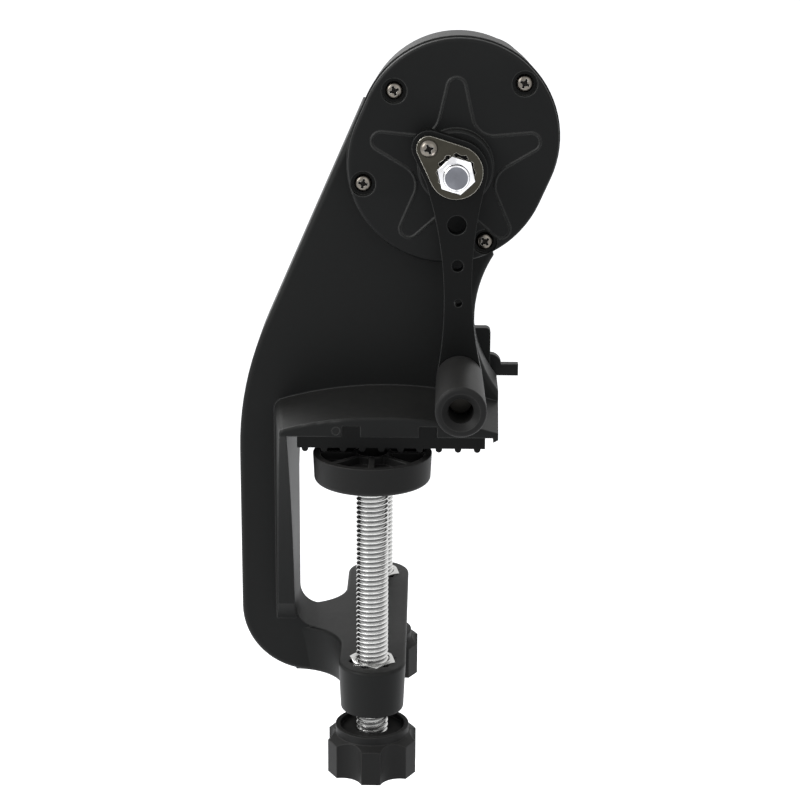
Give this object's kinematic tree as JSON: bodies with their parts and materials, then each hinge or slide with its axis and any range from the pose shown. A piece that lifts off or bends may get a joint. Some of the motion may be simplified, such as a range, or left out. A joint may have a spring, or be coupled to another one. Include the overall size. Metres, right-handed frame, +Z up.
{
  "type": "fishing line winder",
  "caption": "Hand-cranked fishing line winder: geared crank head on a C-shaped frame with a twin-screw table clamp, spool spindle and reel seat.",
  "frame": {"origin": "underside of the upper jaw's rubber, midway between the two clamp screws", "axes": "+X from the spine towards the open end of the jaws, +Y from the crank side to the spool side, +Z up"},
  "size_m": [0.0993, 0.1533, 0.2294],
  "materials": {
    "frame_black": "satin",
    "cover_black": "satin",
    "bushing": "satin",
    "zinc": "satin",
    "bright_steel": "polished",
    "dark_steel": "satin",
    "arm_black": "satin",
    "gear_steel": "satin",
    "grip_black": "satin",
    "pad_black": "satin",
    "insert_rubber": "matte"
  },
  "bodies": {
    "frame": {"body_frame": "frame_black", "gear_cover": "cover_black", "cover_screws": "bright_steel", "crank_bush_front": "bushing", "crank_bush_rear": "bushing", "spindle_bush_front": "bushing", "spindle_bush_rear": "bushing", "jaw_insert": "insert_rubber", "insert_pins": "grip_black", "clamp_nut_front": "zinc", "clamp_nut_rear": "zinc", "reel_seat": "frame_black", "seat_screws": "bright_steel", "lever_pin": "zinc"},
    "crank": {"crank_shaft": "zinc", "drive_gear": "gear_steel", "crank_arm": "arm_black", "retainer_plate": "dark_steel", "retainer_screw": "bright_steel", "crank_nut": "bright_steel", "knob_pin": "zinc"},
    "grip": {"crank_knob": "grip_black"},
    "spindle": {"spindle_shaft": "zinc", "pinion_gear": "gear_steel", "spool_plate": "pad_black"},
    "cone": {"spool_cone": "pad_black"},
    "hand_nut": {"spool_nut": "pad_black"},
    "front_pad": {"clamp_pad_front": "pad_black"},
    "front_screw": {"clamp_screw_front": "zinc", "clamp_washer_front": "bright_steel", "clamp_knob_front": "pad_black"},
    "rear_pad": {"clamp_pad_rear": "pad_black"},
    "rear_screw": {"clamp_screw_rear": "zinc", "clamp_washer_rear": "bright_steel", "clamp_knob_rear": "pad_black"},
    "hood": {"foot_hood": "cover_black"},
    "lever": {"hood_lever": "cover_black"}
  },
  "joints": [
    {"name": "crank_spin", "type": "hinge", "parent": "frame", "child": "crank", "pos_m": [0.0245, 0, 0.0815], "axis": [0, 1, 0], "continuous": true},
    {"name": "grip_spin", "type": "hinge", "parent": "crank", "child": "grip", "pos_m": [0.0263, -0.0358, 0.01833], "axis": [0, 1, 0], "continuous": true},
    {"name": "spindle_spin", "type": "hinge", "parent": "frame", "child": "spindle", "pos_m": [0.03354, 0, 0.1021], "axis": [0, 1, 0], "continuous": true},
    {"name": "cone_slide", "type": "slide", "parent": "spindle", "child": "cone", "axis": [0, 1, 0], "range_m": [-0.009, 0.0345]},
    {"name": "nut_turn", "type": "hinge", "parent": "cone", "child": "hand_nut", "pos_m": [0.03354, 0, 0.1021], "axis": [0, 1, 0], "range_deg": [-2606.4, 9950.4]},
    {"name": "front_pad_slide", "type": "slide", "parent": "frame", "child": "front_pad", "axis": [0, 0, 1], "range_m": [-0.0585, 0.0027]},
    {"name": "front_screw_turn", "type": "hinge", "parent": "front_pad", "child": "front_screw", "pos_m": [0, -0.039, 0], "axis": [0, 0, 1], "range_deg": [-14052, 660]},
    {"name": "rear_pad_slide", "type": "slide", "parent": "frame", "child": "rear_pad", "axis": [0, 0, 1], "range_m": [-0.0585, 0.0027]},
    {"name": "rear_screw_turn", "type": "hinge", "parent": "rear_pad", "child": "rear_screw", "pos_m": [0, 0.039, 0], "axis": [0, 0, 1], "range_deg": [-14052, 660]},
    {"name": "hood_slide", "type": "slide", "parent": "frame", "child": "hood", "axis": [1, 0, 0], "range_m": [-0.006, 0.004]},
    {"name": "lever_turn", "type": "hinge", "parent": "frame", "child": "lever", "pos_m": [0.0332, 0, 0.0096], "axis": [0, -1, 0], "range_deg": [0, 60]}
  ],
  "couplings": [
    {"joint": "spindle_spin", "follows": "crank_spin", "ratio": -2},
    {"joint": "nut_turn", "follows": "cone_slide", "rad_per_m": 5026.5},
    {"joint": "front_screw_turn", "follows": "front_pad_slide", "rad_per_m": 4188.8},
    {"joint": "rear_screw_turn", "follows": "rear_pad_slide", "rad_per_m": 4188.8}
  ]
}
